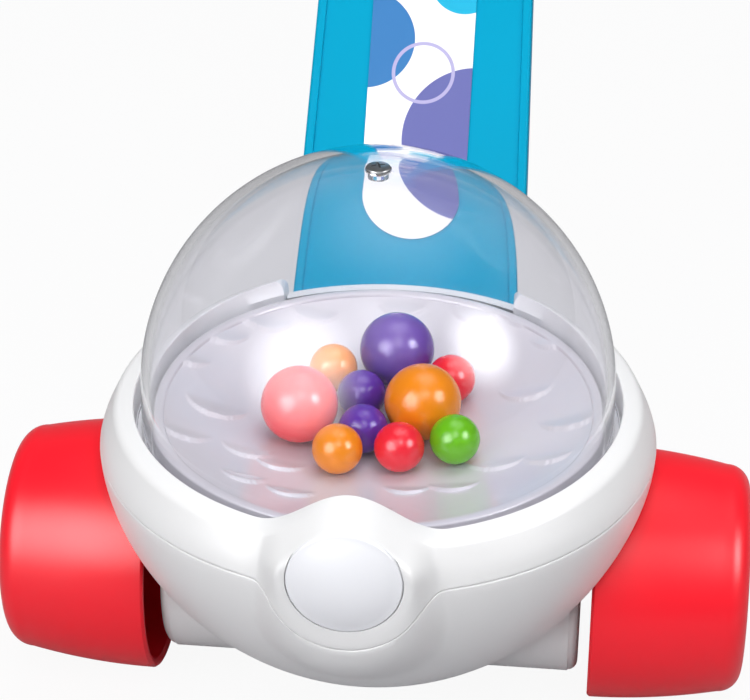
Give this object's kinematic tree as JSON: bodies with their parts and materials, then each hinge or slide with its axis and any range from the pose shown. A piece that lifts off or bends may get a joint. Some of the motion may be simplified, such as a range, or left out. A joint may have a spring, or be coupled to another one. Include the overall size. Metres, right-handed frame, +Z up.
{
  "type": "toddler push toy",
  "caption": "Push-along ball popper: clear dome of loose balls on a dished tray, round badge boss, barrel wheels and a leaning flat handle with a loop grip.",
  "frame": {"origin": "on the floor, in the middle of the toy's length and width", "axes": "+Z up, front with the badge at -Y, handle leaning towards +Y, wheels along X"},
  "size_m": [0.2298, 0.5014, 0.4946],
  "materials": {
    "white_shell": "moulded gloss",
    "badge_white": "smooth gloss",
    "lavender_tray": "fine moulded matt",
    "clear_dome": "clear polished",
    "steel_screw": "machined",
    "turquoise_handle": "satin moulded",
    "printed_film": "printed film",
    "steel_axle": "drawn",
    "dark_plastic": "matt",
    "red_wheel": "satin moulded",
    "pad_rubber": "matt",
    "ball_purple": "polished",
    "ball_red": "polished",
    "ball_orange": "polished",
    "ball_green": "polished"
  },
  "bodies": {
    "base": {"lower_shell": "white_shell", "bumper_ring": "white_shell", "badge_disc": "badge_white", "tray": "lavender_tray", "dome": "clear_dome", "crown_screw": "steel_screw", "handle_stick": "turquoise_handle", "handle_label": "printed_film", "grip": "turquoise_handle", "bushing_left": "dark_plastic", "bushing_right": "dark_plastic", "hammer_pin": "steel_axle", "return_spring": "steel_axle"},
    "wheel_set": {"axle": "steel_axle", "cam": "white_shell", "wheel_left": "red_wheel", "wheel_right": "red_wheel"},
    "hammer": {"hammer": "dark_plastic", "striker_pad": "pad_rubber"},
    "ball_purple_big": {"ball_purple_big": "ball_purple"},
    "ball_red_big": {"ball_red_big": "ball_red"},
    "ball_orange_big": {"ball_orange_big": "ball_orange"},
    "ball_orange_back": {"ball_orange_back": "ball_orange"},
    "ball_purple_back": {"ball_purple_back": "ball_purple"},
    "ball_purple_front": {"ball_purple_front": "ball_purple"},
    "ball_orange_front": {"ball_orange_front": "ball_orange"},
    "ball_red_front": {"ball_red_front": "ball_red"},
    "ball_green_front": {"ball_green_front": "ball_green"},
    "ball_red_back": {"ball_red_back": "ball_red"}
  },
  "joints": [
    {"name": "wheel_roll", "type": "hinge", "parent": "base", "child": "wheel_set", "pos_m": [0, -0.16022, 0.0396], "axis": [1, 0, 0], "continuous": true},
    {"name": "hammer_strike", "type": "hinge", "parent": "base", "child": "hammer", "pos_m": [0, -0.12022, 0.0725], "axis": [-1, 0, 0], "range_deg": [0, 8], "stiffness_Nm_per_rad": 0.05, "springref_deg": -8.59, "deforming": ["return_spring"]},
    {"name": "jump_purple_big", "type": "slide", "parent": "base", "child": "ball_purple_big", "axis": [0, 0, 1], "range_m": [0, 0.025]},
    {"name": "jump_red_big", "type": "slide", "parent": "base", "child": "ball_red_big", "axis": [0, 0, 1], "range_m": [0, 0.025]},
    {"name": "jump_orange_big", "type": "slide", "parent": "base", "child": "ball_orange_big", "axis": [0, 0, 1], "range_m": [0, 0.025]},
    {"name": "jump_orange_back", "type": "slide", "parent": "base", "child": "ball_orange_back", "axis": [0, 0, 1], "range_m": [0, 0.025]},
    {"name": "jump_purple_back", "type": "slide", "parent": "base", "child": "ball_purple_back", "axis": [0, 0, 1], "range_m": [0, 0.025]},
    {"name": "jump_purple_front", "type": "slide", "parent": "base", "child": "ball_purple_front", "axis": [0, 0, 1], "range_m": [0, 0.025]},
    {"name": "jump_orange_front", "type": "slide", "parent": "base", "child": "ball_orange_front", "axis": [0, 0, 1], "range_m": [0, 0.025]},
    {"name": "jump_red_front", "type": "slide", "parent": "base", "child": "ball_red_front", "axis": [0, 0, 1], "range_m": [0, 0.025]},
    {"name": "jump_green_front", "type": "slide", "parent": "base", "child": "ball_green_front", "axis": [0, 0, 1], "range_m": [0, 0.025]},
    {"name": "jump_red_back", "type": "slide", "parent": "base", "child": "ball_red_back", "axis": [0, 0, 1], "range_m": [0, 0.025]}
  ]
}
